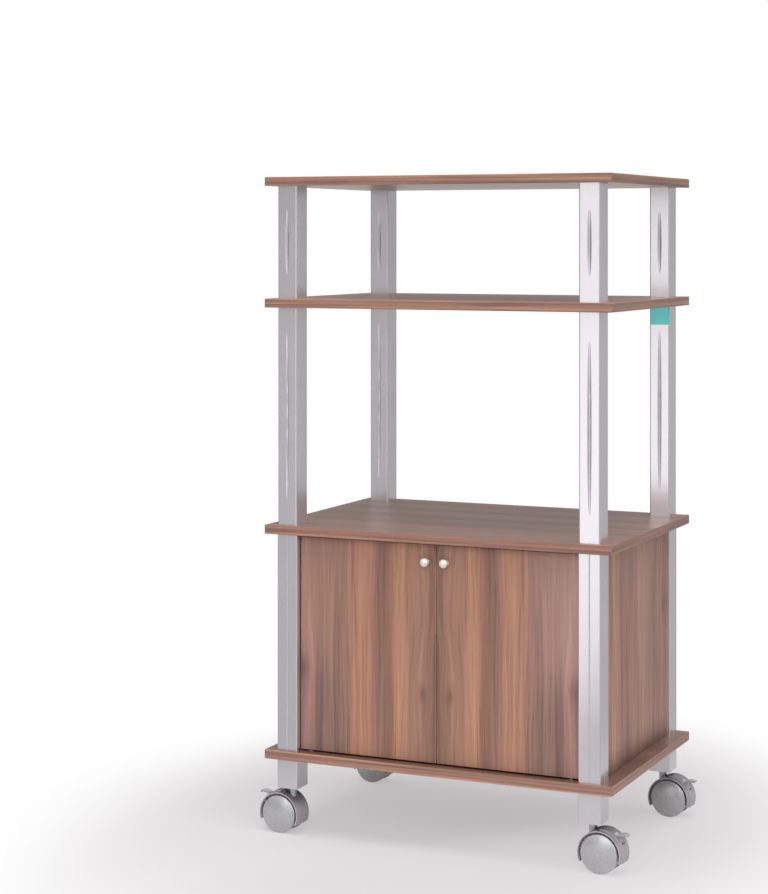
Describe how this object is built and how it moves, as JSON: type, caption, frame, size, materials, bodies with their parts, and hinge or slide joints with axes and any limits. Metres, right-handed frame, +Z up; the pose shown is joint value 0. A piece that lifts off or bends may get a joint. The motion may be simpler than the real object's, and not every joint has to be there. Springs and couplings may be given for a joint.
{
  "type": "microwave cart",
  "caption": "Tall rolling microwave cart with an open appliance bay, an upper shelf and top board on silver posts, a two-door cupboard below, and braked swivel casters.",
  "frame": {"origin": "on the floor, below the centre of the boards", "axes": "+X to the viewer's right when facing the doors, +Y to the back, +Z up"},
  "size_m": [0.6954, 0.45, 1.171],
  "materials": {
    "walnut_board": "satin walnut-grain foil on chipboard",
    "walnut_panel": "satin walnut-grain foil on chipboard",
    "silver_tube": "silver paint, semi-gloss",
    "zinc_steel": "bright zinc plate",
    "knob_metal": "satin chrome",
    "plug_plastic": "matt moulded",
    "bush_plastic": "matt nylon",
    "catch_plastic": "matt moulded",
    "dowel_wood": "raw beech",
    "caster_hood": "fine satin moulded",
    "caster_wheel": "satin moulded",
    "brake_lever": "fine satin moulded"
  },
  "bodies": {
    "cart": {"top_board": "walnut_board", "upper_shelf": "walnut_board", "worktop": "walnut_board", "base_board": "walnut_board", "top_post_fl": "silver_tube", "top_post_fr": "silver_tube", "top_post_rl": "silver_tube", "top_post_rr": "silver_tube", "middle_post_fl": "silver_tube", "middle_post_fr": "silver_tube", "middle_post_rl": "silver_tube", "middle_post_rr": "silver_tube", "cabinet_post_fl": "silver_tube", "cabinet_post_fr": "silver_tube", "cabinet_post_rl": "silver_tube", "cabinet_post_rr": "silver_tube", "leg_fl": "silver_tube", "leg_fr": "silver_tube", "leg_rl": "silver_tube", "leg_rr": "silver_tube", "left_side_panel": "walnut_panel", "right_side_panel": "walnut_panel", "back_panel": "walnut_panel", "door_pivot_pins": "zinc_steel", "door_catch": "catch_plastic", "post_end_plugs": "plug_plastic", "connecting_studs": "zinc_steel", "panel_dowels": "dowel_wood", "caster_sockets": "plug_plastic", "caster_stems": "zinc_steel"},
    "left_door": {"left_door": "walnut_panel", "left_knob": "knob_metal", "left_knob_screw": "zinc_steel", "left_door_bushes": "bush_plastic", "left_strike_plate": "zinc_steel"},
    "right_door": {"right_door": "walnut_panel", "right_knob": "knob_metal", "right_knob_screw": "zinc_steel", "right_door_bushes": "bush_plastic", "right_strike_plate": "zinc_steel"},
    "caster_fl": {"caster_hood_fl": "caster_hood", "caster_axle_fl": "zinc_steel"},
    "wheel_fl_front": {"caster_wheel_fl_front": "caster_wheel"},
    "wheel_fl_rear": {"caster_wheel_fl_rear": "caster_wheel"},
    "brake_fl": {"brake_lever_fl": "brake_lever"},
    "caster_fr": {"caster_hood_fr": "caster_hood", "caster_axle_fr": "zinc_steel"},
    "wheel_fr_front": {"caster_wheel_fr_front": "caster_wheel"},
    "wheel_fr_rear": {"caster_wheel_fr_rear": "caster_wheel"},
    "brake_fr": {"brake_lever_fr": "brake_lever"},
    "caster_rl": {"caster_hood_rl": "caster_hood", "caster_axle_rl": "zinc_steel"},
    "wheel_rl_front": {"caster_wheel_rl_front": "caster_wheel"},
    "wheel_rl_rear": {"caster_wheel_rl_rear": "caster_wheel"},
    "brake_rl": {"brake_lever_rl": "brake_lever"},
    "caster_rr": {"caster_hood_rr": "caster_hood", "caster_axle_rr": "zinc_steel"},
    "wheel_rr_front": {"caster_wheel_rr_front": "caster_wheel"},
    "wheel_rr_rear": {"caster_wheel_rr_rear": "caster_wheel"},
    "brake_rr": {"brake_lever_rr": "brake_lever"}
  },
  "joints": [
    {"name": "left_door_hinge", "type": "hinge", "parent": "cart", "child": "left_door", "pos_m": [-0.24475, -0.1975, 0.152], "axis": [0, 0, -1], "range_deg": [0, 100]},
    {"name": "right_door_hinge", "type": "hinge", "parent": "cart", "child": "right_door", "pos_m": [0.24475, -0.1975, 0.152], "axis": [0, 0, 1], "range_deg": [0, 100]},
    {"name": "caster_fl_swivel", "type": "hinge", "parent": "cart", "child": "caster_fl", "pos_m": [-0.2835, -0.196, 0.064], "axis": [0, 0, 1], "continuous": true},
    {"name": "wheel_fl_front_spin", "type": "hinge", "parent": "caster_fl", "child": "wheel_fl_front", "pos_m": [-0.30214, -0.21174, 0.033], "axis": [0.0698, 0.9976, 0], "continuous": true},
    {"name": "wheel_fl_rear_spin", "type": "hinge", "parent": "caster_fl", "child": "wheel_fl_rear", "pos_m": [-0.29977, -0.17782, 0.033], "axis": [0.0698, 0.9976, 0], "continuous": true},
    {"name": "brake_fl_press", "type": "hinge", "parent": "caster_fl", "child": "brake_fl", "pos_m": [-0.3218, -0.19332, 0.0579], "axis": [-0.0698, -0.9976, 0], "range_deg": [0, 7]},
    {"name": "caster_fr_swivel", "type": "hinge", "parent": "cart", "child": "caster_fr", "pos_m": [0.2835, -0.196, 0.064], "axis": [0, 0, 1], "continuous": true},
    {"name": "wheel_fr_front_spin", "type": "hinge", "parent": "caster_fr", "child": "wheel_fr_front", "pos_m": [0.29977, -0.21418, 0.033], "axis": [0.0698, 0.9976, 0], "continuous": true},
    {"name": "wheel_fr_rear_spin", "type": "hinge", "parent": "caster_fr", "child": "wheel_fr_rear", "pos_m": [0.30214, -0.18026, 0.033], "axis": [0.0698, 0.9976, 0], "continuous": true},
    {"name": "brake_fr_press", "type": "hinge", "parent": "caster_fr", "child": "brake_fr", "pos_m": [0.3218, -0.19868, 0.0579], "axis": [0.0698, 0.9976, 0], "range_deg": [0, 7]},
    {"name": "caster_rl_swivel", "type": "hinge", "parent": "cart", "child": "caster_rl", "pos_m": [-0.2835, 0.196, 0.064], "axis": [0, 0, 1], "continuous": true},
    {"name": "wheel_rl_front_spin", "type": "hinge", "parent": "caster_rl", "child": "wheel_rl_front", "pos_m": [-0.30214, 0.18026, 0.033], "axis": [0.0698, 0.9976, 0], "continuous": true},
    {"name": "wheel_rl_rear_spin", "type": "hinge", "parent": "caster_rl", "child": "wheel_rl_rear", "pos_m": [-0.29977, 0.21418, 0.033], "axis": [0.0698, 0.9976, 0], "continuous": true},
    {"name": "brake_rl_press", "type": "hinge", "parent": "caster_rl", "child": "brake_rl", "pos_m": [-0.3218, 0.19868, 0.0579], "axis": [-0.0698, -0.9976, 0], "range_deg": [0, 7]},
    {"name": "caster_rr_swivel", "type": "hinge", "parent": "cart", "child": "caster_rr", "pos_m": [0.2835, 0.196, 0.064], "axis": [0, 0, 1], "continuous": true},
    {"name": "wheel_rr_front_spin", "type": "hinge", "parent": "caster_rr", "child": "wheel_rr_front", "pos_m": [0.29977, 0.17782, 0.033], "axis": [0.0698, 0.9976, 0], "continuous": true},
    {"name": "wheel_rr_rear_spin", "type": "hinge", "parent": "caster_rr", "child": "wheel_rr_rear", "pos_m": [0.30214, 0.21174, 0.033], "axis": [0.0698, 0.9976, 0], "continuous": true},
    {"name": "brake_rr_press", "type": "hinge", "parent": "caster_rr", "child": "brake_rr", "pos_m": [0.3218, 0.19332, 0.0579], "axis": [0.0698, 0.9976, 0], "range_deg": [0, 7]}
  ]
}
